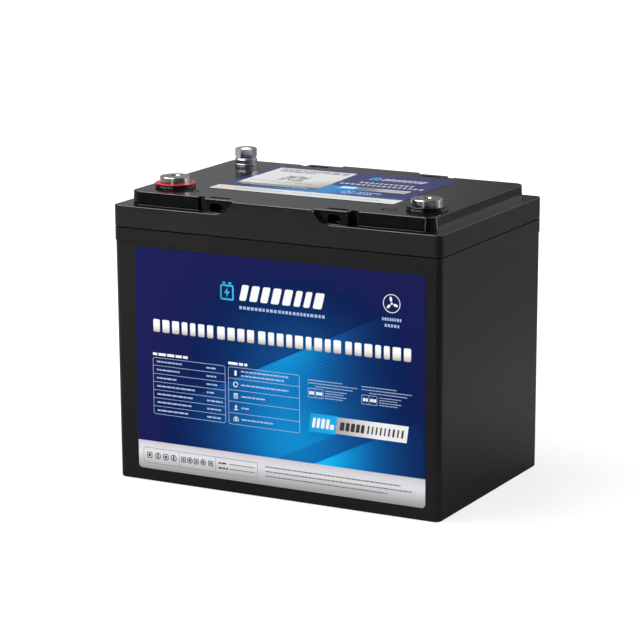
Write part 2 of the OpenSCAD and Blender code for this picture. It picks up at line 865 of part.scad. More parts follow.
// Bridge-shaped current shunts standing on the board
module bms_shunts() {
    color("#b87333")
    for (i = [0:2])
        translate([12 + i * 6, -20, board_top]) rotate([90, 0, 0]) linear_extrude(2.5) difference() {
            square([3.6, 5]);
            translate([0.9, -1]) square([1.8, 5]);
        }
}

module bms_connector() {
    color("#efece2")
    difference() {
        translate([-10, 37, board_top]) cube([28, 7, 7.5]);
        for (x = sense_x)
            translate([x, 45, sense_z]) rotate([90, 0, 0]) cylinder(h = 3, r = wire_r + 0.05);
    }
}

module bms_lug_screws() {
    color("#caccd0")
    for (y = lug_screw_y) translate([lug_screw_x, y, 0]) {
        translate([0, 0, board_z - 2]) cylinder(h = board_t + lug_t + 2.5, r = lug_screw_r);
        translate([0, 0, board_top + lug_t]) cylinder(h = 3, r = 4.4);
    }
}

// Small radio module with a screening can, soldered on the board
module wireless_module() {
    color("#14506e") {
        translate([-44, -28, board_top]) cube([28, 11, 3]);
        translate([-42, -26.5, board_top + 3]) cube([14, 8, 2.2]);
    }
}

module temperature_sensor() {
    color("#202022") {
        translate([25.4, 20, cell_top + 1.4]) rotate([90, 0, 0]) cylinder(h = 6, r = 1.3);
        tube(smooth(sensor_route, 5), wire_r, 8);
    }
}

// ---------- leads ----------

// Ring lug at p, whose barrel points at angle a about Z and stands above the plate, or hangs below it
module lug(p, a, eye_r, bore_r, barrel_from, hangs = false) {
    axis_z = hangs ? lug_t - barrel_r : barrel_r;
    translate(p) rotate(a) difference() {
        union() {
            cylinder(h = lug_t, r = eye_r);
            translate([0, -barrel_r, 0]) cube([barrel_from + 1, 2 * barrel_r, lug_t]);
            translate([barrel_from, 0, axis_z]) rotate([0, 90, 0]) cylinder(h = barrel_len, r = barrel_r);
        }
        translate([0, 0, -1]) cylinder(h = 9, r = bore_r);
        translate([barrel_from + 1, 0, axis_z]) rotate([0, 90, 0]) cylinder(h = 20, r = lead_r + 0.03);
    }
}

module lead(route) {
    tube(smooth(route, 4), lead_r, 12);
}

module positive_lead() { color("#b01c22") lead(positive_route); }
module negative_lead() { color("#161616") lead(negative_route); }
module pack_lead() { color("#161616") lead(pack_route); }

module positive_lugs() {
    color("#c9a227") {
        lug([-terminal_x, terminal_y, lug_z], 90, 12, stem_r, 15, true);
        lug([cell_x[0], -post_y, bus_z], 90, 8, bus_hole_r, 9);
    }
}

module negative_lugs() {
    color("#c9a227") {
        lug([terminal_x, terminal_y, lug_z], 90, 12, stem_r, 15, true);
        lug([lug_screw_x, lug_screw_y[1], board_top], 0, 6, lug_screw_r, 7);
    }
}

module pack_lugs() {
    color("#c9a227") {
        lug([cell_x[3], -post_y, bus_z], 90, 8, bus_hole_r, 9);
        lug([lug_screw_x, lug_screw_y[0], board_top], 0, 6, lug_screw_r, 7);
    }
}

module balance_harness() {
    color("#d8d8d8")
    for (route = sense_routes) tube(smooth(route, 5), wire_r, 8);
}

container();
lid();
lid_seal();
front_label();
top_label();
info_sticker();
positive_terminal();
positive_ring();
positive_gasket();
positive_o_ring();
positive_nuts();
negative_terminal();
negative_ring();
negative_gasket();
negative_o_ring();
negative_nuts();
vent_body();
vent_collar();
vent_nut();
vent_seat();
vent_poppet();
vent_spring();
vent_membrane();
cell_1();
cell_2();
cell_3();
cell_4();
cell_posts();
cell_burst_discs();
cell_separators();
end_plates();
strap_lower();
strap_upper();
base_pad();
side_pad_left();
side_pad_right();
busbar_carrier();
busbar_1();
busbar_2();
busbar_3();
post_nuts();
bms_bracket();
bms_board();
bms_mosfets();
bms_heat_plate();
bms_screws();
bms_shunts();
bms_connector();
bms_lug_screws();
wireless_module();
temperature_sensor();
positive_lead();
positive_lugs();
negative_lead();
negative_lugs();
pack_lead();
pack_lugs();
balance_harness();
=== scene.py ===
"""Looks of a deep cycle battery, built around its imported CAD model.

Sizes are in millimetres, except that the floor and the lights are placed in metres.
"""

import json
import math
import random

import bmesh
import bpy
from mathutils import Matrix, Vector


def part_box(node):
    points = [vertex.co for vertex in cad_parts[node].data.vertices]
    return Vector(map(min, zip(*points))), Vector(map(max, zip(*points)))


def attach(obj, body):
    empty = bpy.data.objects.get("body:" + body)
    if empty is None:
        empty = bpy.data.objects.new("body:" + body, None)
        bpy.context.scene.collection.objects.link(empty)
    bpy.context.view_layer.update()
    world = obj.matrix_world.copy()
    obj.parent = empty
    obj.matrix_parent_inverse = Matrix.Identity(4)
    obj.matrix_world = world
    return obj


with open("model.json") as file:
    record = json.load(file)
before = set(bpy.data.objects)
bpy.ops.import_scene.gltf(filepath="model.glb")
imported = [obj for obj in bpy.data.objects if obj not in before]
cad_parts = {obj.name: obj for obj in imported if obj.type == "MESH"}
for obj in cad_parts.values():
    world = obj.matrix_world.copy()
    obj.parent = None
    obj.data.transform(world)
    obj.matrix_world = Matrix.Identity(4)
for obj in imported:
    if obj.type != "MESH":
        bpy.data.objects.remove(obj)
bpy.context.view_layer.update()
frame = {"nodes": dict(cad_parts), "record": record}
NODES = frame["nodes"]
MM = 0.001


def srgb(red, green, blue):
    """A colour given as 0 to 255 on screen, as the linear values that shaders use."""

    def linear(value):
        value /= 255
        return value / 12.92 if value <= 0.04045 else ((value + 0.055) / 1.055) ** 2.4

    return (linear(red), linear(green), linear(blue), 1.0)


def grey(value):
    return srgb(value, value, value)


def shade(colour, factor):
    return tuple(min(1.0, c * factor) for c in colour[:3]) + (1.0,)


def under_gloss(colour):
    """An ink as it lies under a glossy film, whose own sheen then makes up the colour seen."""
    sheen, darkest = 0.0043, 0.0006
    return tuple(max(darkest, c - sheen) for c in colour[:3]) + (1.0,)


def centre_of(node):
    """The middle of a node's box at rest, in millimetres."""
    low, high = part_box(node)
    return (low + high) / 2 / MM


def corners_of(node):
    """The lowest and highest corner of a node's box at rest, in millimetres."""
    return [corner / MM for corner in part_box(node)]


# ---------- materials ----------

SOCKETS = {
    "metallic": "Metallic",
    "roughness": "Roughness",
    "specular": "Specular IOR Level",
    "coat": "Coat Weight",
    "coat_roughness": "Coat Roughness",
}


class Look:
    """One procedural material, with short calls for the nodes behind its shader."""

    def __init__(self, name, **constants):
        self.material = bpy.data.materials.new(name)
        self.material.use_nodes = True
        self.tree = self.material.node_tree
        self.tree.nodes.clear()
        self.shader = self.add("ShaderNodeBsdfPrincipled")
        output = self.add("ShaderNodeOutputMaterial")
        self.tree.links.new(self.shader.outputs["BSDF"], output.inputs["Surface"])
        self.place = self.add("ShaderNodeTexCoord").outputs["Object"]
        for key, value in constants.items():
            self.shader.inputs[SOCKETS[key]].default_value = value

    def add(self, kind, **settings):
        node = self.tree.nodes.new(kind)
        for key, value in settings.items():
            setattr(node, key, value)
        return node

    def put(self, socket, value):
        if isinstance(value, bpy.types.NodeSocket):
            self.tree.links.new(value, socket)
        else:
            socket.default_value = value

    def math(self, operation, a, b=0.0, c=0.0, clamp=False):
        node = self.add("ShaderNodeMath", operation=operation, use_clamp=clamp)
        for socket, value in zip(node.inputs, (a, b, c)):
            self.put(socket, value)
        return node.outputs[0]

    def distance(self, a, b):
        """How far a point is from where a and b are both zero."""
        squares = self.math("ADD", self.math("POWER", a, 2), self.math("POWER", b, 2))
        return self.math("SQRT", squares)

    def mix(self, factor, a, b):
        node = self.add("ShaderNodeMix", data_type="RGBA")
        for index, value in ((0, factor), (6, a), (7, b)):
            self.put(node.inputs[index], value)
        return node.outputs[2]

    def span(self, value, low, high, to_low=0.0, to_high=1.0):
        """value moved from low..high to to_low..to_high, and kept inside."""
        node = self.add("ShaderNodeMapRange")
        for socket, v in zip(node.inputs, (value, low, high, to_low, to_high)):
            self.put(socket, v)
        return node.outputs[0]

    def scaled(self, stretch=(1, 1, 1)):
        """Object coordinates in millimetres, stretched."""
        node = self.add("ShaderNodeMapping")
        self.put(node.inputs["Vector"], self.place)
        self.put(node.inputs["Scale"], [s / MM for s in stretch])
        return node.outputs[0]

    def axes(self):
        """X, Y and Z in millimetres."""
        node = self.add("ShaderNodeSeparateXYZ")
        self.put(node.inputs[0], self.scaled())
        return node.outputs

    def noise(self, size, detail=2.0, stretch=(1, 1, 1)):
        """Noise from 0 to 1, with features about size millimetres across."""
        node = self.add("ShaderNodeTexNoise")
        self.put(node.inputs["Vector"], self.scaled(stretch))
        self.put(node.inputs["Scale"], 1 / size)
        self.put(node.inputs["Detail"], detail)
        return node.outputs[0]

    def cells(self, size, feature="F1", stretch=(1, 1, 1)):
        """Distance within a pattern of cells about size millimetres across."""
        node = self.add("ShaderNodeTexVoronoi", feature=feature)
        self.put(node.inputs["Vector"], self.scaled(stretch))
        self.put(node.inputs["Scale"], 1 / size)
        return node.outputs["Distance"]

    def ramp(self, value, stops):
        """The colour at value, from stops of place and colour."""
        node = self.add("ShaderNodeValToRGB")
        points = node.color_ramp.elements
        while len(points) < len(stops):
            points.new(0.5)
        for point, (position, colour) in zip(points, stops):
            point.position = position
            point.color = colour
        self.put(node.inputs[0], value)
        return node.outputs[0]

    def paint(self, base, roughness=None):
        self.put(self.shader.inputs["Base Color"], base)
        if roughness is not None:
            self.put(self.shader.inputs["Roughness"], roughness)
        return self

    def relief(self, height, depth, rounding=0.0):
        """Bump of the given depth, over edges softened by a radius."""
        bump = self.add("ShaderNodeBump")
        self.put(bump.inputs["Height"], height)
        self.put(bump.inputs["Distance"], depth * MM)
        if rounding:
            soft = self.add("ShaderNodeBevel", samples=4)
            self.put(soft.inputs["Radius"], rounding * MM)
            self.put(bump.inputs["Normal"], soft.outputs[0])
        self.put(self.shader.inputs["Normal"], bump.outputs[0])
        return self


def product(look, *values):
    """Shader values multiplied together."""
    total = values[0]
    for value in values[1:]:
        total = look.math("MULTIPLY", total, value)
    return total


def bell(look, value, centre, width):
    """exp(-((value - centre) / width) ** 2)"""
    t = look.math("DIVIDE", look.math("SUBTRACT", value, centre), width)
    return look.math("EXPONENT", product(look, t, t, -1.0))


def moulded(name, colour, roughness, grain=0.6, depth=0.02, rounding=0.35):
    """Injection-moulded plastic: fine spark grain, faint flow mottling and soft edges."""
    look = Look(name)
    mottle = 0.12
    flow = look.noise(38, 3.0, (1, 1, 0.35))
    base = look.mix(flow, shade(colour, 1 - mottle), shade(colour, 1 + mottle))
    rough = look.span(look.noise(9, 3.0), 0.3, 0.7, roughness - 0.04, roughness + 0.05)
    return look.paint(base, rough).relief(look.noise(grain, 2.0), depth, rounding)


def rubber(name, colour, roughness, grain=0.35, depth=0.03):
    """Moulded rubber or cable sheath: soft sheen, dusty mottling and a fine tooth."""
    look = Look(name)
    mottle, rounding = 0.2, 0.15
    dust = look.span(look.noise(5, 4.0), 0.35, 0.75)
    base = look.mix(dust, shade(colour, 1 - mottle), shade(colour, 1 + mottle))
    rough = look.span(look.noise(2.5, 3.0), 0.3, 0.7, roughness - 0.06, roughness + 0.08)
    return look.paint(base, rough).relief(look.noise(grain, 3.0), depth, rounding)


def worked_metal(name, colour, roughness, stretch, line=0.25, tarnish=0.12):
    """Drawn, rolled or machined metal: streaks along one way, and slight tarnish."""
    look = Look(name, metallic=1.0)
    depth, rounding = 0.006, 0.15
    streaks = look.noise(line, 2.0, stretch)
    patches = look.noise(7, 4.0)
    base = look.mix(patches, shade(colour, 1 - tarnish), shade(colour, 1 + tarnish / 2))
    rough = look.span(streaks, 0.25, 0.75, roughness - 0.06, roughness + 0.08)
    return look.paint(base, rough).relief(streaks, depth, rounding)


def from_upright_axis(look, axis):
    """Distance from the upright line at axis, or from its mirror image across X = 0, and the height."""
    x, y, z = look.axes()
    across = look.math("SUBTRACT", look.math("ABSOLUTE", x), axis.x)
    along = look.math("SUBTRACT", y, axis.y)
    return look.distance(across, along), z


def terminal_metal():
    """Turned and nickel-plated: tool rings round each terminal's own axis."""
    look = Look("terminal_metal", metallic=1.0)
    ring_pitch, ring_climb = 0.42, 0.8
    radius, z = from_upright_axis(look, centre_of("negative_terminal"))
    wander = look.math("MULTIPLY", look.noise(1.2, 2.0), 0.5)
    path = look.math("ADD", look.math("ADD", radius, look.math("MULTIPLY", z, ring_climb)), wander)
    rings = look.math("SINE", look.math("MULTIPLY", path, 2 * math.pi / ring_pitch))
    height = look.span(rings, -1, 1)
    patches = look.noise(4, 4.0)
    base = look.mix(patches, srgb(172, 171, 169), srgb(200, 199, 197))
    rough = look.span(look.math("ADD", height, look.noise(0.8, 2.0)), 0.3, 1.6, 0.15, 0.22)
    return look.paint(base, rough).relief(height, 0.003, 0.12)


def chrome(name, dull, bright, roughness):
    """Bright plating over a turned or forged part: soft waves, a few fine hairlines."""
    look = Look(name, metallic=1.0)
    hair = look.noise(0.25, 2.0, (1, 1, 0.12))
    haze = look.noise(3.5, 4.0)
    base = look.mix(haze, dull, bright)
    rough = look.span(look.math("ADD", hair, haze), 0.6, 1.4, roughness, roughness + 0.08)
    return look.paint(base, rough).relief(look.noise(1.6, 2.0), 0.004, 0.12)


MARK = Vector((78.6, -59.2))  # middle of one polarity mark on the deck, which the other mirrors
MARK_R = 6.0
MARK_DEPTH = 1.1
JOINT_GAP = 0.95


def painted_shade_in_grooves(look):
    """Painted shade, dark and dull, in the open joint under the lid and in the two polarity marks."""
    joint_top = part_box("lid")[0].z / MM
    joint_foot = joint_top - JOINT_GAP
    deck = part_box("top_label")[0].z / MM
    mark_foot = deck - MARK_DEPTH
    soft = 0.1
    away, z = from_upright_axis(look, MARK)
    joint = product(
        look, look.span(z, joint_foot, joint_foot + soft), look.span(z, joint_top, joint_top - soft))
    sunk = product(
        look, look.span(z, deck - soft, deck - 3 * soft), look.span(z, mark_foot, mark_foot + soft))
    in_mark = product(look, sunk, look.span(away, MARK_R + 2 * soft, MARK_R))
    return look.math("MAXIMUM", joint, in_mark)


def case_plastic(name, grain, depth, roughness, rounding):
    """Glossy black ABS of the case, whose grey is mostly sheen.

    Flow marks run up the walls, faint flecks lie on it, and its grooves get painted shade.
    """
    look = Look(name, specular=0.42)
    flow = look.noise(46, 4.0, (1, 1, 0.3))
    fleck = look.noise(0.7, 2.0)
    base = look.mix(flow, grey(12), grey(17))
    base = look.mix(look.span(fleck, 0.6, 0.9, 0.0, 0.15), base, grey(30))
    smear = look.noise(22, 4.0)
    smear = look.math("ADD", smear, look.noise(3, 3.0))
    rough = look.span(smear, 0.7, 1.3, roughness - 0.03, roughness + 0.05)
    # Painted shade: the open joint and the sunken polarity marks turn near-black and dull.
    groove_shade = painted_shade_in_grooves(look)
    groove_shade_colour, groove_shade_roughness = grey(1), 0.7
    base = look.mix(groove_shade, base, groove_shade_colour)
    rough = look.math("MULTIPLY_ADD", groove_shade, groove_shade_roughness, rough)
    pebbles = look.math("MULTIPLY", look.cells(grain * 1.6), 0.5)
    height = look.math("ADD", look.noise(grain, 2.0), pebbles)
    return look.paint(base, rough).relief(height, depth, rounding)


# The label's colours from unlit navy to the brightest glow, and up its silver foot
GLOW = [(place, under_gloss(srgb(*colour))) for place, colour in (
    (0.0, (29, 31, 84)),
    (0.03, (16, 33, 84)),
    (0.12, (14, 49, 102)),
    (0.26, (18, 69, 129)),
    (0.37, (10, 84, 145)),
    (0.5, (1, 103, 170)),
    (0.7, (4, 133, 197)),
    (0.87, (0, 158, 221)),
    (1.0, (3, 180, 240)),
)]
SILVER = [(place, srgb(*colour)) for place, colour in (
    (0.0, (156, 153, 152)),
    (0.12, (167, 163, 162)),
    (0.36, (198, 195, 196)),
    (0.6, (221, 219, 224)),
    (0.85, (212, 210, 215)),
    (1.0, (196, 193, 197)),
)]
SILVER_FOOT = 9.5
SILVER_TOP = 30.1
RAY_SLOPE = 0.488
# Heights at which the slanting upper edges of the ray and of the two wedges under it cross X = 0
RAY_TOP = 99.5
DARK_TOP = 29.0
BRIGHT_TOP = 14.6
HATCH_PITCH = 2.6
DOT_GREY = grey(150)


def front_artwork():
    """Printed film of the main label: navy, a blue glow low in the middle, a slanting ray, a silver foot."""
    look = Look("label_film_front", specular=0.07)
    x, _, z = look.axes()
    lifted = look.math("MULTIPLY_ADD", x, -RAY_SLOPE, z)  # height above a slanting line through the origin
    under_ray = look.math("SUBTRACT", RAY_TOP, lifted)
    glow = product(look, bell(look, x, 22, 58), bell(look, z, 38, 46), 0.63)
    haze = product(look, bell(look, x, 18, 52), bell(look, z, 112, 33), 0.2)
    fade = look.math("EXPONENT", look.math("DIVIDE", under_ray, -40.0))
    ray = product(look, bell(look, x, 8, 48), fade, look.span(under_ray, -0.3, 0.5), 0.5)
    light = look.math("ADD", look.math("ADD", glow, haze), ray)
    dark_wedge = look.span(look.math("SUBTRACT", DARK_TOP, lifted), -1.0, 1.0, 1.0, 0.82)
    bright_wedge = look.span(look.math("SUBTRACT", BRIGHT_TOP, lifted), -0.4, 0.5, 1.0, 2.1)
    stripe = look.math("SINE", look.math("MULTIPLY", lifted, 2 * math.pi / HATCH_PITCH))
    window = product(look, bell(look, under_ray, 14, 17), bell(look, x, 24, 44))
    corner = product(look, bell(look, z, 48, 18), bell(look, x, -42, 24), 0.8)
    hatch = product(look, stripe, look.math("ADD", window, corner), 0.055)
    light = product(look, light, dark_wedge, bright_wedge)
    light = look.math("ADD", light, hatch, clamp=True)
    blue = look.ramp(light, GLOW)
    foot = look.ramp(look.span(z, SILVER_FOOT, SILVER_TOP), SILVER)
    base = look.mix(look.math("GREATER_THAN", z, SILVER_TOP), foot, blue)
    dots = look.noise(0.35, 1.0)
    base = look.mix(look.span(dots, 0.35, 0.75, 0.0, 0.006), base, DOT_GREY)
    rough = look.span(look.noise(16, 3.0), 0.3, 0.7, 0.22, 0.28)
    return look.paint(base, rough).relief(look.noise(24, 1.0), 0.006)


def top_artwork():
    """Printed film on the deck: the same navy, with an azure wedge beside the data sticker."""
    look = Look("label_film_top", specular=0.2)
    wedge_slope, dimming = 0.42, 0.72
    x, y, _ = look.axes()
    lifted = look.math("MULTIPLY_ADD", x, wedge_slope, y)
    wedge = product(look, look.span(lifted, 11, 7.5), bell(look, x, -4, 44), 0.72)
    edge = product(look, bell(look, y, -26, 6), look.span(x, -60, 0), 0.45)
    light = look.math("MAXIMUM", look.math("MAXIMUM", wedge, edge), 0.02)
    brighter = [(place, shade(colour, dimming)) for place, colour in GLOW[2:]]
    base = look.ramp(light, [(0.0, srgb(24, 27, 88))] + brighter)
    base = look.mix(look.span(look.noise(0.35, 1.0), 0.35, 0.75, 0.0, 0.01), base, DOT_GREY)
    rough = look.span(look.noise(12, 3.0), 0.3, 0.7, 0.16, 0.24)
    return look.paint(base, rough).relief(look.noise(20, 1.0), 0.006)


def sticker_paper():
    """Silver-white data sticker with a painted sheen across its face, which darkens into a printed band
    along its front edge.
    """
    look = Look("sticker_paper", specular=0.4)
    x, y, _ = look.axes()
    # Painted sheen: the face is lighter towards the back left and greyer towards the front right.
    sheen = look.span(look.math("MULTIPLY_ADD", x, -0.6, y), -6, 30)
    face = look.mix(sheen, grey(126), grey(186))
    base = look.mix(look.span(y, -11.5, -8.0), srgb(60, 58, 56), face)
    base = look.mix(look.span(look.noise(0.3, 2.0), 0.3, 0.7, 0.0, 0.12), base, grey(190))
    rough = look.span(look.noise(6, 3.0), 0.3, 0.7, 0.28, 0.42)
    return look.paint(base, rough).relief(look.noise(0.5, 2.0), 0.008)


def circuit_board():
    """Green solder mask over copper tracks."""
    look = Look("board_green", coat=0.4, coat_roughness=0.2)
    tracks = look.cells(5.0, "DISTANCE_TO_EDGE", (1, 1, 0))
    line = look.span(tracks, 0.06, 0.11)
    base = look.mix(line, srgb(54, 132, 74), srgb(18, 84, 44))
    base = look.mix(look.noise(11, 3.0), base, srgb(16, 74, 40))
    rough = look.span(look.noise(3, 3.0), 0.3, 0.7, 0.3, 0.42)
    return look.paint(base, rough).relief(line, -0.05, 0.2)


def cell_film():
    """Blue shrink film drawn tight over an aluminium can."""
    look = Look("cell_film", coat=0.5, coat_roughness=0.12)
    creases = look.noise(6, 3.0, (1, 1, 0.2))
    base = look.mix(look.noise(30, 3.0), srgb(30, 88, 168), srgb(44, 110, 190))
    rough = look.span(creases, 0.3, 0.7, 0.22, 0.36)
    return look.paint(base, rough).relief(creases, 0.12, 0.6)


def foam():
    """Grey open-cell foam."""
    look = Look("foam_grey", specular=0.2)
    pores = look.cells(1.3)
    base = look.mix(look.span(pores, 0.1, 0.8), srgb(40, 40, 43), srgb(74, 74, 78))
    return look.paint(base, look.span(pores, 0.0, 1.0, 0.8, 0.95)).relief(pores, 0.3, 0.6)


def pressed_board():
    """Insulating board of pressed fibres."""
    look = Look("board_paper", specular=0.25)
    fibres = look.noise(1.4, 4.0, (1, 1, 0.15))
    base = look.mix(fibres, srgb(186, 166, 118), srgb(222, 206, 160))
    return look.paint(base, look.span(fibres, 0.2, 0.8, 0.62, 0.8)).relief(fibres, 0.06, 0.3)


def membrane():
    """White porous sheet."""
    look = Look("membrane_white", specular=0.2)
    web = look.cells(0.25, "DISTANCE_TO_EDGE")
    base = look.mix(look.noise(1.5, 2.0), srgb(228, 228, 222), srgb(246, 246, 242))
    return look.paint(base, look.span(web, 0.0, 0.4, 0.7, 0.9)).relief(web, 0.03)


LOOKS = {
    "terminal_metal": terminal_metal(),
    "ring_red": moulded("ring_red", srgb(190, 26, 36), 0.24, 0.4, 0.004, 0.08),
    "ring_black": moulded("ring_black", grey(12), 0.2, 0.4, 0.004, 0.08),
    "seal_rubber": rubber("seal_rubber", grey(10), 0.22, 0.3, 0.004),
    "brass_nut": worked_metal("brass_nut", srgb(196, 168, 98), 0.3, (1, 1, 4)),
    "valve_chrome": chrome("valve_chrome", srgb(214, 215, 217), srgb(234, 235, 237), 0.12),
    "collar_steel": chrome("collar_steel", srgb(132, 134, 138), srgb(160, 162, 166), 0.34),
    "zinc_steel": worked_metal("zinc_steel", srgb(190, 194, 200), 0.3, (1, 1, 4)),
    "poppet_rubber": rubber("poppet_rubber", srgb(150, 34, 30), 0.5),
    "membrane_white": membrane(),
    "cell_film": cell_film(),
    "post_aluminium": worked_metal("post_aluminium", srgb(212, 214, 218), 0.3, (1, 6, 1)),
    "board_paper": pressed_board(),
    "strap_steel": worked_metal("strap_steel", srgb(170, 173, 178), 0.32, (0.05, 0.05, 3), 0.4),
    "foam_grey": foam(),
    "carrier_cream": moulded("carrier_cream", srgb(222, 216, 196), 0.5),
    "copper": worked_metal("copper", srgb(206, 132, 96), 0.3, (0.08, 2, 2), 0.3, tarnish=0.25),
    "bracket_black": moulded("bracket_black", grey(36), 0.5),
    "board_green": circuit_board(),
    "chip_black": moulded("chip_black", grey(28), 0.55, 0.3),
    "plate_aluminium": worked_metal("plate_aluminium", srgb(196, 199, 204), 0.36, (0.06, 3, 3), 0.3),
    "connector_cream": moulded("connector_cream", srgb(232, 228, 214), 0.45),
    "module_blue": moulded("module_blue", srgb(26, 78, 120), 0.35),
    "wire_red": rubber("wire_red", srgb(176, 26, 32), 0.42),
    "wire_black": rubber("wire_black", grey(26), 0.42),
    "wire_grey": rubber("wire_grey", grey(196), 0.45),
    "lug_tin": worked_metal("lug_tin", srgb(206, 198, 180), 0.3, (3, 0.2, 3), 0.4),
}
OWN_LOOKS = {
    "container": case_plastic("case_wall", 0.6, 0.0015, 0.22, 0.1),
    "lid": case_plastic("case_lid", 0.8, 0.0008, 0.1, 0.35),
    "front_label": front_artwork(),
    "top_label": top_artwork(),
    "info_sticker": sticker_paper(),
}


CASE_CREASE = 28
WIRE_CREASE = 50


def wear(thing, look):
    """Gives every face of an object one look, in place of what it had."""
    thing.data.materials.clear()
    thing.data.materials.append(look.material)
    for face in thing.data.polygons:
        face.material_index = 0


def smooth_over(node, angle):
    """Rounds a faceted mesh's shading, and keeps edges crisp where faces meet at over angle degrees."""
    thing = NODES[node]
    with bpy.context.temp_override(object=thing, active_object=thing):
        bpy.ops.mesh.customdata_custom_splitnormals_clear()
    for face in thing.data.polygons:
        face.use_smooth = True
    weld = thing.modifiers.new("weld", "WELD")
    weld.merge_threshold = 0.002 * MM
    split = thing.modifiers.new("split", "EDGE_SPLIT")
    split.split_angle = math.radians(angle)
    thing.modifiers.new("weighted", "WEIGHTED_NORMAL")


slot_of = {part["node"]: part["material_slot"] for part in frame["record"]["subparts"]}
for node, thing in NODES.items():
    wear(thing, OWN_LOOKS.get(node) or LOOKS[slot_of[node]])
for node in ("container", "lid"):
    smooth_over(node, CASE_CREASE)
for node in (
        "vent_spring", "positive_lead", "negative_lead", "pack_lead", "balance_harness",
        "temperature_sensor"):
    smooth_over(node, WIRE_CREASE)


def mesh_piece(name, mesh, look):
    """A new piece on the case from a bmesh, with its look as its material."""
    data = bpy.data.meshes.new(name)
    bmesh.ops.recalc_face_normals(mesh, faces=mesh.faces)
    mesh.to_mesh(data)
    mesh.free()
    piece = bpy.data.objects.new(name, data)
    bpy.context.scene.collection.objects.link(piece)
    data.materials.append(look.material)
    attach(piece, "case")


# ---------- print on the labels ----------


# Lowest and highest level above the label, of plain print and of print that lies on other print
PRINT = (-0.01, 0.04)
OVERPRINT = (0.03, 0.07)


class Sheet:
    """The flat outer face of a label, on which print is placed by the battery's own millimetres."""

    def __init__(self, node, outward):
        faces = NODES[node].data.polygons
        face = max(faces, key=lambda f: f.area * f.normal.dot(Vector(outward)))
        self.origin = face.center.copy()
        self.normal = face.normal.normalized()
        self.across = Vector((1, 0, 0))
        self.up = self.normal.cross(self.across).normalized()
        self.rise = 2 if abs(self.up.z) > abs(self.up.y) else 1  # the axis that heights are read on

    def point(self, x, y, lift):
        dx = x * MM - self.origin.x
        dy = (y * MM - self.origin[self.rise]) / self.up[self.rise]
        return self.origin + self.across * dx + self.up * dy + self.normal * (lift * MM)


def arc(cx, cy, r, start, end, steps):
    angles = [math.radians(start + (end - start) * i / steps) for i in range(steps + 1)]
    return [(cx + r * math.cos(a), cy + r * math.sin(a)) for a in angles]


def circle(cx, cy, r, points):
    return arc(cx, cy, r, 0, 360 - 360 / points, points - 1)


def round_outline(x0, y0, x1, y1, r, steps=4):
    corners = ((x1 - r, y0 + r, -90), (x1 - r, y1 - r, 0), (x0 + r, y1 - r, 90), (x0 + r, y0 + r, 180))
    return [p for cx, cy, a in corners for p in arc(cx, cy, r, a, a + 90, steps)]


class Ink:
    """Thin shapes of one colour on a sheet, gathered in one mesh of separate closed prisms."""

    def __init__(self, sheet, levels=PRINT):
        self.sheet = sheet
        self.low, self.high = levels
        self.mesh = bmesh.new()

    def loop(self, outline, lift):
        return [self.mesh.verts.new(self.sheet.point(x, y, lift)) for x, y in outline]

    def walls(self, below, above):
        for i in range(len(below)):
            j = (i + 1) % len(below)
            self.mesh.faces.new((below[i], below[j], above[j], above[i]))

    def shape(self, outline):
        """A filled outline, given anticlockwise."""
        below, above = self.loop(outline, self.low), self.loop(outline, self.high)
        self.walls(below, above)
        self.mesh.faces.new(above)
        self.mesh.faces.new(below[::-1])

    def band(self, outer, inner):
        """The closed strip between two outlines with as many points each."""
        below, above = self.loop(outer, self.low), self.loop(outer, self.high)
        below_in, above_in = self.loop(inner, self.low), self.loop(inner, self.high)
        self.walls(below, above)
        self.walls(above_in, below_in)
        self.walls(above, above_in)
        self.walls(below_in, below)

    def box(self, x0, y0, x1, y1):
        self.shape([(x0, y0), (x1, y0), (x1, y1), (x0, y1)])

    def frame(self, x0, y0, x1, y1, r, line):
        outer = round_outline(x0, y0, x1, y1, r)
        inner = round_outline(x0 + line, y0 + line, x1 - line, y1 - line, max(r - line, 0.05))
        self.band(outer, inner)

    def disc(self, cx, cy, r):
        self.shape(circle(cx, cy, r, 24))

    def ring(self, cx, cy, r, line):
        self.band(circle(cx, cy, r, 30), circle(cx, cy, r - line, 30))

    def sweep(self, cx, cy, r, line, start, end):
        """Part of a ring, from start to end in degrees."""
        self.shape(arc(cx, cy, r, start, end, 16) + arc(cx, cy, r - line, end, start, 16))

    def words(self, x0, x1, y, height, seed):
        """A line of small print as plain dashes, one for each word."""
        draw = random.Random(seed)
        longest, letters_to_height = 9.0, 2.2
        gap = height * 0.55
        x = x0
        while x < x1 - height:
            width = min(height * draw.uniform(0.35 * longest, longest) / letters_to_height, x1 - x)
            self.box(x, y, x + width, y + height)
            x += width + gap

    def blocks(self, x0, x1, y, height, counts, seed, slant=0.0, gap=0.17):
        """Plain rounded blocks in place of large print: counts says how many stand in each group."""
        draw = random.Random(seed)
        widths = [[draw.uniform(0.78, 1.16) for _ in range(count)] for count in counts]
        space = 0.6
        gaps = gap * sum(count - 1 for count in counts)
        total = sum(map(sum, widths)) + gaps + space * (len(counts) - 1)
        unit = (x1 - x0) / total
        x = x0
        for group in widths:
            for width in group:
                outline = round_outline(x, y, x + width * unit, y + height, 0.1 * height, 3)
                self.shape([(u + slant * (v - y), v) for u, v in outline])
                x += (width + gap) * unit
            x += (space - gap) * unit


def print_off(prints):
    """Turns each ink into a piece of its own, given as the ink, the piece's name and its look."""
    for ink, name, look in prints:
        mesh_piece(name, ink.mesh, look)


def ink_look(name, colour):
    """Screen-printed ink with a faint mesh of dots."""
    look = Look(name, specular=0.35)
    fleck = 0.06
    dots = look.noise(0.3, 1.0)
    base = look.mix(dots, shade(colour, 1 - fleck), shade(colour, 1 + fleck))
    return look.paint(base, look.span(dots, 0.3, 0.7, 0.28, 0.38)).relief(dots, 0.004)


HEADLINE_FOOT = 111.6
HEADLINE_HIGH = 9.3


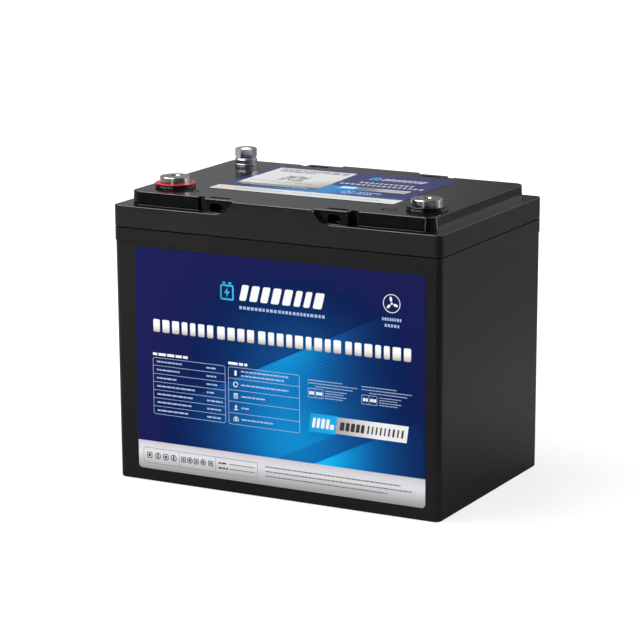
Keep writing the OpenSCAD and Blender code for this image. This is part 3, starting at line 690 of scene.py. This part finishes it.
def headline_look():
    """Silver foil of the headline's blocks: white above, warm grey below."""
    look = Look("ink_foil", specular=0.4)
    z = look.axes()[2]
    foil = [(0.0, srgb(176, 168, 158)), (0.3, srgb(226, 222, 216)), (0.6, grey(250))]
    base = look.ramp(look.span(z, HEADLINE_FOOT, HEADLINE_FOOT + HEADLINE_HIGH + 0.1), foil)
    base = look.mix(look.span(look.noise(0.3, 1.0), 0.3, 0.7, 0.0, 0.08), base, grey(200))
    rough = look.span(look.noise(1.0, 2.0), 0.3, 0.7, 0.28, 0.4)
    return look.paint(base, rough).relief(look.noise(0.5, 1.0), 0.004)


def banner_look(name, left, right, x0, x1):
    """Ink that runs from one colour at x0 to another at x1."""
    look = Look(name, specular=0.12)
    x = look.axes()[0]
    base = look.mix(look.span(x, x0, x1), left, right)
    base = look.mix(look.span(look.noise(0.3, 1.0), 0.3, 0.7, 0.0, 0.012), base, grey(190))
    rough = look.span(look.noise(2.0, 2.0), 0.3, 0.7, 0.26, 0.36)
    return look.paint(base, rough).relief(look.noise(0.6, 1.0), 0.004)


WHITE = ink_look("ink_white", grey(240))
PALE = ink_look("ink_pale", srgb(164, 186, 216))
DARK = ink_look("ink_dark", srgb(52, 50, 52))
MID = ink_look("ink_mid", srgb(112, 110, 112))
CYAN = banner_look("ink_cyan", srgb(0, 150, 212), srgb(0, 168, 228), 27, 50)
TEAL = banner_look("ink_teal", srgb(44, 148, 160), srgb(40, 190, 240), -44, -30)
SILVER_INK = banner_look("ink_silver", srgb(156, 154, 156), srgb(236, 234, 234), 48, 82)
ORANGE = ink_look("ink_orange", srgb(238, 160, 62))


def battery_icon(ink, x0, y0, x1, y1, line):
    """Outline of a battery with its two posts and a bolt."""
    high = y1 - y0
    body_top = y1 - 0.14 * high
    ink.frame(x0, y0, x1, body_top, 0.12 * high, line)
    wide = x1 - x0
    for share in (0.17, 0.61):
        left = x0 + share * wide
        ink.box(left, body_top + 0.03 * high, left + 0.22 * wide, y1)
    cx, cy, s = (x0 + x1) / 2, (y0 + body_top) / 2, 0.3 * high
    bolt = [(0.25, 1.0), (-0.62, -0.18), (-0.05, -0.18), (-0.25, -1.0), (0.62, 0.2), (0.05, 0.2)]
    ink.shape([(cx + s * u, cy + s * v) for u, v in bolt])


def propeller_icon(ink, cx, cy, r, line):
    """Ring with a three-bladed propeller in it."""
    ink.ring(cx, cy, r, line)
    ink.disc(cx, cy, 0.13 * r)
    points, twist = 14, 12
    for turn in (90, 210, 330):
        t = math.radians(turn + twist)
        blade = []
        for i in range(points):
            a = 2 * math.pi * i / points
            u, v = 0.47 * r + 0.27 * r * math.cos(a), 0.15 * r * math.sin(a)
            blade.append((cx + u * math.cos(t) - v * math.sin(t), cy + u * math.sin(t) + v * math.cos(t)))
        ink.shape(blade)


def table(ink, x0, x1, y0, y1, rows):
    """A round-cornered frame ruled into rows. Gives the rows' middle heights, from the top down."""
    line = 0.32
    ink.frame(x0, y0, x1, y1, 1.6, line)
    step = (y1 - y0) / rows
    for i in range(1, rows):
        ink.box(x0 + line, y0 + i * step - line / 2, x1 - line, y0 + i * step + line / 2)
    return [y0 + (i + 0.5) * step for i in range(rows - 1, -1, -1)]


def feature_icon(ink, kind, cx, cy, s):
    """Small plain signs in the features table: cell, cycle, calendar, arrow and case."""
    if kind == 0:
        ink.shape(round_outline(cx - 0.45 * s, cy - s, cx + 0.45 * s, cy + 0.75 * s, 0.2 * s))
        ink.box(cx - 0.2 * s, cy + 0.82 * s, cx + 0.2 * s, cy + s)
    elif kind == 1:
        ink.sweep(cx, cy, s, 0.3 * s, 40, 330)
        arrow = [(0.45, 0.1), (1.25, 0.1), (0.85, 0.6)]
        ink.shape([(cx + s * u, cy + s * v) for u, v in arrow])
    elif kind == 2:
        ink.frame(cx - 0.8 * s, cy - 0.9 * s, cx + 0.8 * s, cy + 0.6 * s, 0.2 * s, 0.18 * s)
        ink.box(cx - 0.8 * s, cy + 0.68 * s, cx + 0.8 * s, cy + 0.95 * s)
        for i in range(6):
            x, y = cx - 0.42 * s + (i % 3) * 0.32 * s, cy - 0.5 * s + (i // 3) * 0.45 * s
            ink.box(x, y, x + 0.2 * s, y + 0.25 * s)
    elif kind == 3:
        ink.shape([(cx - 0.55 * s, cy + 0.1 * s), (cx + 0.55 * s, cy + 0.1 * s), (cx, cy + s)])
        ink.box(cx - 0.18 * s, cy - 0.55 * s, cx + 0.18 * s, cy)
        ink.box(cx - 0.8 * s, cy - 0.95 * s, cx + 0.8 * s, cy - 0.7 * s)
    else:
        ink.frame(cx - s, cy - 0.8 * s, cx + s, cy + 0.5 * s, 0.2 * s, 0.2 * s)
        ink.box(cx - 0.45 * s, cy + 0.58 * s, cx + 0.45 * s, cy + 0.85 * s)
        ink.box(cx - 0.35 * s, cy - 0.35 * s, cx + 0.35 * s, cy + 0.1 * s)


def front_headings(white, pale, teal, foil):
    """Icon, title, the line under it, the round badge at the right, and the headline."""
    battery_icon(teal, -42.0, 140.6, -31.0, 153.6, 1.3)
    white.blocks(-26.8, 38.6, 141.4, 11.4, [8], 3, 0.25, 0.42)
    pale.blocks(-26.6, 41.2, 135.2, 2.2, [7, 3, 4, 9], 5, gap=0.45)
    propeller_icon(white, 92.9, 151.0, 6.6, 0.5)
    pale.blocks(85.6, 100.2, 138.8, 2.1, [8], 8, gap=0.45)
    pale.blocks(87.6, 98.6, 134.4, 2.1, [5], 9, gap=0.45)
    foil.blocks(-97.6, 107.6, HEADLINE_FOOT, HEADLINE_HIGH, [7, 4, 9, 7], 12, gap=0.4)


def front_tables(white, pale):
    """Two ruled tables under the headline, the right one with a sign in each row."""
    foot, top, title = 50.8, 92.8, 94.3
    white.words(-98.4, -69.0, title, 1.9, 21)
    name_ends = (-74.5, -76.5, -79.0, -64.0, -65.0, -67.0, -70.0)
    value_ends = (-46.6, -46.2, -44.0, -47.4, -41.2, -41.0, -43.0)
    rows = table(pale, -98.6, -38.8, foot, top, len(name_ends))
    for i, (y, name_end, value_end) in enumerate(zip(rows, name_ends, value_ends)):
        pale.words(-95.4, name_end, y - 0.55, 1.1, 30 + i)
        pale.words(-54.2, value_end, y - 0.55, 1.1, 40 + i)
    white.words(-36.2, -20.8, title, 1.9, 22)
    line_ends = ((12.0, 8.5), (12.0,), (-5.4,), (-20.0,), (-0.4,))
    rows = table(pale, -36.4, 21.0, foot, top, len(line_ends))
    for i, (y, ends) in enumerate(zip(rows, line_ends)):
        feature_icon(white, i, -30.4, y, 2.0)
        rise = 0.95 if len(ends) > 1 else -0.55
        for j, end in enumerate(ends):
            pale.words(-25.9, end, y + rise - 3.1 * j, 1.05, 50 + 3 * i + j)


def front_notes(white, pale):
    """Two small notes at the right: a heading, a frame with two marks, and lines beside the frame."""
    for x in (27.6, 69.6):
        for j, (start, end) in enumerate(((0.0, 27.0), (0.0, 38.6), (6.0, 35.0))):
            pale.words(x + start, x + end, 90.0 - 2.1 * j, 0.6, 70 + j + int(x))
        pale.frame(x, 77.8, x + 12.2, 84.6, 0.8, 0.35)
        pale.box(x + 5.6, 78.15, x + 5.9, 84.25)
        white.blocks(x + 1.1, x + 4.9, 80.0, 2.3, [2], 77)
        white.blocks(x + 6.6, x + 11.3, 80.0, 2.3, [3], 78)
        for j in range(4):
            pale.words(x + 13.6, x + 30.4 - (2.6 if j % 2 else 0), 83.4 - 1.75 * j, 0.55, 80 + j + int(x))


def front_banner(cyan, silver, over_white, over_dark):
    """A slanting banner of a blue and a silver part."""
    cyan.shape([(27.6, 53.2), (48.9, 53.2), (50.8, 66.6), (29.4, 66.6)])
    silver.shape([(49.0, 54.0), (104.2, 54.0), (105.9, 66.0), (50.8, 66.0)])
    over_white.blocks(30.6, 43.6, 56.4, 7.2, [4], 91, 0.16, 0.45)
    over_white.blocks(44.6, 47.6, 56.4, 3.6, [1], 92, 0.16)
    over_dark.blocks(52.2, 71.2, 56.8, 6.0, [5], 93, 0.16, 0.35)
    over_dark.blocks(73.6, 101.4, 56.8, 6.0, [9], 94, 0.16, 1.5)


def front_foot(dark, mid):
    """On the silver foot: a frame of small plain signs and short lines, and lines of small print."""
    sign_y = 19.4
    mid.frame(-108.0, 13.4, -13.4, 25.0, 1.6, 0.3)
    for x in (-78.2, -48.0):
        mid.box(x, 13.7, x + 0.3, 24.7)
    for i, x in enumerate((-103.0, -96.0, -89.4, -82.8)):
        if i % 2:
            dark.ring(x, sign_y, 2.5, 0.65)
            dark.box(x - 0.6, 18.0, x + 0.6, 20.8)
        else:
            dark.frame(x - 2.3, 17.1, x + 2.3, 21.7, 1.0, 0.6)
            dark.disc(x, sign_y, 1.1)
    for i, x in enumerate((-74.4, -69.2, -64.0, -58.2, -51.9)):
        if i % 2:
            dark.ring(x, sign_y, 2.3, 0.65)
            dark.disc(x, sign_y, 1.0)
        else:
            dark.frame(x - 2.0, 17.3, x + 2.0, 21.4, 0.5, 0.6)
            dark.disc(x, 19.35, 0.9)
    for y in (20.4, 16.8):
        dark.words(-45.4, -37.6, y - 0.2, 1.2, 101 + int(y))
        mid.box(-36.6, y + 0.1, -15.6, y + 0.7)
    for j, (y, end) in enumerate(((22.4, 99.6), (19.0, 108.0), (15.6, 89.6))):
        mid.words(-7.0, end, y, 0.9, 110 + j)


def print_front():
    sheet = Sheet("front_label", (0, -1, 0))
    white, pale, dark, mid, teal, foil, cyan, silver = (Ink(sheet) for _ in range(8))
    over_white, over_dark = (Ink(sheet, OVERPRINT) for _ in range(2))
    front_headings(white, pale, teal, foil)
    front_tables(white, pale)
    front_notes(white, pale)
    front_banner(cyan, silver, over_white, over_dark)
    front_foot(dark, mid)
    print_off((
        (white, "front_print_white", WHITE),
        (pale, "front_print_pale", PALE),
        (dark, "front_print_dark", DARK),
        (mid, "front_print_grey", MID),
        (teal, "front_icon", TEAL),
        (foil, "front_headline", headline_look()),
        (cyan, "front_banner_cyan", CYAN),
        (silver, "front_banner_silver", SILVER_INK),
        (over_white, "front_banner_print_white", WHITE),
        (over_dark, "front_banner_print_dark", DARK),
    ))


def print_top():
    """A pale strip along the front of the deck's label, and a smaller set of the front's print."""
    sheet = Sheet("top_label", (0, 0, 1))
    low, high = corners_of("top_label")
    white, pale, strip, teal, cyan, silver = (Ink(sheet) for _ in range(6))
    over_white, over_dark, over_mid, orange = (Ink(sheet, OVERPRINT) for _ in range(4))

    margin, strip_rear = 0.1, -25.8
    strip.shape(round_outline(low.x + margin, low.y + margin, high.x - margin, strip_rear, 1.2))
    orange.disc(-64.4, -33.0, 2.6)
    over_mid.words(-58.0, -20.0, -34.0, 1.6, 201)
    over_mid.words(-12.0, 58.0, -33.8, 1.3, 202)
    battery_icon(teal, 12.6, 38.6, 19.6, 48.6, 0.9)
    white.blocks(21.4, 54.8, 39.2, 8.6, [8], 3, 0.25, 0.5)
    white.blocks(12.0, 54.8, 24.4, 4.4, [7, 4], 12, gap=0.6)
    white.blocks(0.4, 66.6, 15.6, 4.4, [9, 7], 13, gap=0.6)
    cyan.shape([(6.6, -2.2), (21.2, -2.2), (22.6, 8.4), (8.0, 8.4)])
    silver.shape([(21.5, -2.0), (61.4, -2.0), (62.8, 8.2), (22.9, 8.2)])
    over_white.blocks(8.8, 19.8, 0.6, 5.0, [4], 91, 0.14, 0.5)
    over_dark.blocks(24.2, 37.6, 0.8, 4.4, [5], 93, 0.14, 0.5)
    over_dark.blocks(39.4, 59.4, 0.8, 4.4, [9], 94, 0.14, 1.5)
    propeller_icon(pale, 22.6, -13.2, 5.0, 0.6)
    pale.blocks(30.4, 47.2, -11.6, 2.4, [7], 8, gap=0.5)
    pale.blocks(30.4, 42.6, -17.0, 2.4, [5], 9, gap=0.5)

    print_off((
        (strip, "top_strip", banner_look("ink_strip", grey(176), grey(190), -60, 0)),
        (white, "top_print_white", ink_look("ink_soft_white", grey(170))),
        (pale, "top_print_pale", PALE),
        (teal, "top_icon", TEAL),
        (cyan, "top_banner_cyan", CYAN),
        (silver, "top_banner_silver", banner_look("ink_top_silver", grey(100), grey(176), 22, 46)),
        (over_white, "top_banner_print_white", WHITE),
        (over_dark, "top_banner_print_dark", DARK),
        (over_mid, "top_strip_print", MID),
        (orange, "top_strip_dot", ORANGE),
    ))


def print_sticker():
    """Lines of small print above and below a field of random squares."""
    sheet = Sheet("info_sticker", (0, 0, 1))
    mid, light = Ink(sheet), Ink(sheet)
    for j, (start, end) in enumerate(((-64.8, -9.6), (-64.8, -8.8), (-62.0, -30.0))):
        mid.words(start, end, 50.2 - 4.6 * j, 2.6, 300 + j)
    draw = random.Random(7)
    side, cells, gap = 1.5, 13, 0.04
    for row in range(cells):
        for column in range(cells):
            if draw.random() < 0.5:
                x, y = -47.2 + column * side, 8.2 + row * side
                mid.box(x + gap, y + gap, x + side - gap, y + side - gap)
    mid.words(-64.8, -14.0, 1.2, 1.2, 310)
    light.words(-64.0, -10.0, -14.6, 1.6, 311)
    print_off((
        (mid, "sticker_print", MID),
        (light, "sticker_print_light", ink_look("ink_light", grey(176))),
    ))


print_front()
print_top()
print_sticker()


# ---------- small parts that the solids leave out ----------


def coil_mesh(centre, radius, profile, pitch, z0, z1):
    """A ridge with the given radial section, wound round an upright axis and closed at both ends."""
    mesh = bmesh.new()
    steps, run_out = 36, 12
    turns = (z1 - z0) / pitch
    count = int(turns * steps)
    last = None
    for i in range(count + 1):
        angle = 2 * math.pi * i / steps
        fade = min(1.0, i / run_out, (count - i) / run_out)
        z = z0 + pitch * i / steps
        loop = []
        for out, up in profile:
            r = radius + out * (fade if out < 0 else 1)
            x, y = centre.x + r * math.cos(angle), centre.y + r * math.sin(angle)
            loop.append(mesh.verts.new(Vector((x, y, z + up)) * MM))
        if last:
            for j in range(len(loop)):
                k = (j + 1) % len(loop)
                mesh.faces.new((last[j], last[k], loop[k], loop[j]))
        else:
            mesh.faces.new(loop[::-1])
        last = loop
    mesh.faces.new(last)
    return mesh


def terminal_threads():
    """Thread crests on the wall of each terminal's tapped hole."""
    hole_r, pitch = 3.4, 1.25
    deepest, shallowest = 13.0, 1.7
    profile = [(0.06, -0.5), (-0.28, -0.1), (-0.28, 0.1), (0.06, 0.5)]
    for side in ("positive", "negative"):
        centre = centre_of(side + "_terminal")
        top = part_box(side + "_terminal")[1].z / MM
        mesh = coil_mesh(centre, hole_r, profile, pitch, top - deepest, top - shallowest)
        mesh_piece(side + "_terminal_thread", mesh, LOOKS["terminal_metal"])


def overlap(a, b):
    """Whether two flat boxes, given as x0, y0, x1, y1, lie over each other."""
    return a[0] < b[2] and b[0] < a[2] and a[1] < b[3] and b[1] < a[3]


def footprint(node):
    """A node's box at rest as seen from above, in millimetres: x0, y0, x1, y1."""
    low, high = corners_of(node)
    return (low.x, low.y, high.x, high.y)


def board_parts():
    """Chips, resistors and capacitors on the management board, clear of its larger parts."""
    low, high = corners_of("bms_board")
    larger = (
        "bms_heat_plate", "bms_connector", "bms_shunts", "wireless_module", "bms_lug_screws",
        "negative_lugs", "pack_lugs")
    taken = [footprint(node) for node in larger]
    sizes = ((2.0, 1.2, 0.6), (3.2, 1.6, 0.7), (5.0, 4.0, 1.2), (1.6, 0.8, 0.5))
    tries, most = 400, 71
    border, room = 3, 0.8
    draw = random.Random(11)
    chips, ends = bmesh.new(), bmesh.new()

    def block(mesh, x0, y0, x1, y1, z1):
        made = bmesh.ops.create_cube(mesh, size=1.0)["verts"]
        z0 = high.z - 0.02
        middle = Vector(((x0 + x1) / 2, (y0 + y1) / 2, (z0 + z1) / 2))
        bmesh.ops.scale(mesh, verts=made, vec=Vector((x1 - x0, y1 - y0, z1 - z0)) * MM)
        bmesh.ops.translate(mesh, verts=made, vec=middle * MM)

    placed = []
    for _ in range(tries):
        wide, deep, tall = draw.choice(sizes)
        x = draw.uniform(low.x + border, high.x - border - wide)
        y = draw.uniform(low.y + border, high.y - border - deep)
        spot = (x - room, y - room, x + wide + room, y + deep + room)
        if len(placed) == most or any(overlap(spot, other) for other in placed + taken):
            continue
        placed.append(spot)
        cap, slit = 0.22 * wide, 0.02
        inset, end_top = 0.05, high.z + tall * 0.8
        block(chips, x + cap, y, x + wide - cap, y + deep, high.z + tall)
        block(ends, x, y + inset, x + cap - slit, y + deep - inset, end_top)
        block(ends, x + wide - cap + slit, y + inset, x + wide, y + deep - inset, end_top)
    mesh_piece("board_chips", chips, LOOKS["chip_black"])
    mesh_piece("board_chip_ends", ends, LOOKS["zinc_steel"])


terminal_threads()
board_parts()


# ---------- camera, light and floor ----------


CAMERA_PLACE = Vector((918.86, -1726.74, 557.84))


def camera():
    """The view is described by where the camera stands and the way it faces."""
    azimuth, elevation, roll = (math.radians(angle) for angle in (28.21, 12.81, -0.27))
    data = bpy.data.cameras.new("camera")
    data.lens = 155.8
    data.sensor_width = 36.0
    data.clip_start, data.clip_end = 0.05, 60.0  # in metres
    level = math.cos(elevation)
    back = Vector((math.sin(azimuth) * level, -math.cos(azimuth) * level, math.sin(elevation)))
    right = (-back).cross(Vector((0, 0, 1))).normalized()
    up = right.cross(-back)
    across = right * math.cos(roll) + up * math.sin(roll)
    above = up * math.cos(roll) - right * math.sin(roll)
    turn = Matrix((across, above, back)).transposed()
    thing = bpy.data.objects.new("camera", data)
    thing.matrix_world = Matrix.Translation(CAMERA_PLACE * MM) @ turn.to_4x4()
    bpy.context.scene.collection.objects.link(thing)
    bpy.context.scene.camera = thing


def softbox(name, place, target, width, height, power):
    """A soft rectangular light aimed at target. Places and sizes are in metres, and power in watts."""
    data = bpy.data.lights.new(name, "AREA")
    data.shape = "RECTANGLE"
    data.size, data.size_y = width, height
    data.energy = power
    thing = bpy.data.objects.new(name, data)
    thing.location = place
    thing.rotation_euler = (Vector(target) - Vector(place)).to_track_quat("-Z", "Y").to_euler()
    bpy.context.scene.collection.objects.link(thing)


def surroundings():
    """Plain pale studio: white to the camera, and dimmer in reflections.

    Reflections see a dark front, a pale card behind at the left, and a bright card behind at the right
    in the middle of a dimmer patch.
    """
    world = bpy.data.worlds.new("studio")
    bpy.context.scene.world = world
    world.use_nodes = True
    tree = world.node_tree
    tree.nodes.clear()

    def add(kind, **settings):
        node = tree.nodes.new(kind)
        for key, value in settings.items():
            setattr(node, key, value)
        return node

    def link(source, target):
        tree.links.new(source, target)

    way = add("ShaderNodeTexCoord").outputs["Generated"]

    def towards(direction):
        """How nearly a ray goes in that direction: 1 straight there, -1 straight away."""
        node = add("ShaderNodeVectorMath", operation="DOT_PRODUCT")
        link(way, node.inputs[0])
        node.inputs[1].default_value = Vector(direction).normalized()
        return node.outputs["Value"]

    def fade(value, low, high, at_low, at_high):
        node = add("ShaderNodeMapRange", interpolation_type="SMOOTHSTEP")
        link(value, node.inputs["Value"])
        limits = (("From Min", low), ("From Max", high), ("To Min", at_low), ("To Max", at_high))
        for key, number in limits:
            node.inputs[key].default_value = number
        return node.outputs[0]

    def summed(a, b):
        node = add("ShaderNodeMath", operation="ADD")
        link(a, node.inputs[0])
        link(b, node.inputs[1])
        return node.outputs[0]

    right_rear = towards((0.5, 0.84, 0.2))
    left_card = fade(towards((-0.75, 0.64, 0.17)), 0.88, 0.975, 0.0, 0.13)
    right_card = fade(right_rear, 0.84, 0.96, 0.0, 1.1)
    dim_patch = fade(right_rear, 0.535, 0.6, 0.0, -0.115)
    room = fade(towards((-0.3, -0.93, 0.1)), 0.2, 0.8, 0.21, 0.03)
    strength = summed(summed(summed(left_card, right_card), dim_patch), room)

    seen, felt = add("ShaderNodeBackground"), add("ShaderNodeBackground")
    seen.inputs["Color"].default_value = (1.0, 1.0, 1.0, 1.0)
    felt.inputs["Color"].default_value = (0.97, 0.98, 1.0, 1.0)
    link(strength, felt.inputs["Strength"])
    mix = add("ShaderNodeMixShader")
    output = add("ShaderNodeOutputWorld")
    link(add("ShaderNodeLightPath").outputs["Is Camera Ray"], mix.inputs[0])
    link(felt.outputs[0], mix.inputs[1])
    link(seen.outputs[0], mix.inputs[2])
    link(mix.outputs[0], output.inputs[0])


def floor():
    """White paper that fades into the background, and looks greyer in reflections than to the camera."""
    half = 7.0  # in metres
    mesh = bmesh.new()
    corners = [mesh.verts.new((x * half, y * half, 0)) for x, y in ((-1, -1), (1, -1), (1, 1), (-1, 1))]
    mesh.faces.new(corners)
    data = bpy.data.meshes.new("floor")
    mesh.to_mesh(data)
    mesh.free()
    thing = bpy.data.objects.new("floor", data)
    bpy.context.scene.collection.objects.link(thing)
    look = floor_paper()
    data.materials.append(look.material)


def floor_paper():
    """White to the camera, nearly white as a source of soft light, and greyer in glossy reflections."""
    look = Look("floor_paper", roughness=1.0, specular=0.0)
    x, y, _ = look.axes()
    path = look.add("ShaderNodeLightPath").outputs
    paper = look.mix(look.noise(300, 2.0), grey(232), grey(238))
    seen = look.mix(path["Is Camera Ray"], paper, grey(120))
    # Painted reflections: in glossy rays the floor is grey, changes across x, and is darker just in front of
    # the case and far ahead.
    greys = ((0.0, 176), (0.2, 164), (0.45, 142), (0.6, 162), (0.66, 146), (0.8, 124), (1.0, 130))
    mirrored = look.ramp(look.span(x, -600, 600), [(place, grey(value)) for place, value in greys])
    ahead = look.math("MULTIPLY", y, -1.0)
    near = look.math("MULTIPLY", look.span(ahead, -50, 100), look.span(ahead, 450, 950, 0.36, 0.0))
    mirrored = look.mix(near, mirrored, grey(30))
    mirrored = look.mix(look.span(ahead, 1050, 1450), mirrored, grey(20))
    look.paint(look.mix(path["Is Glossy Ray"], seen, mirrored))
    glow = look.math("MULTIPLY_ADD", look.span(look.distance(x, y), 160, 600), 0.3, 0.8)
    look.put(look.shader.inputs["Emission Color"], grey(255))
    look.put(look.shader.inputs["Emission Strength"], look.math("MULTIPLY", glow, path["Is Camera Ray"]))
    return look


camera()
surroundings()
floor()
softbox("top_light", (-0.72, -0.32, 1.45), (0, 0, 0.15), 1.0, 1.0, 29)
softbox("front_light", (-0.75, -1.5, 1.75), (0, 0, 0.1), 1.5, 0.4, 23.5)
softbox("right_light", (1.9, 0.9, 1.4), (0, 0, 0.1), 1.4, 1.2, 22)
softbox("back_light", (-0.8, 1.5, 1.75), (0, 0, 0.2), 0.9, 0.5, 9)
softbox("front_strip", (0.05, -1.5, 0.25), (0, 0, 0.2), 0.2, 0.5, 0.9)
softbox("right_strip", (1.3, 0.75, 0.25), (0, 0, 0.2), 0.28, 0.5, 1.8)

view = bpy.context.scene.view_settings
view.view_transform = "Standard"
view.look = "None"
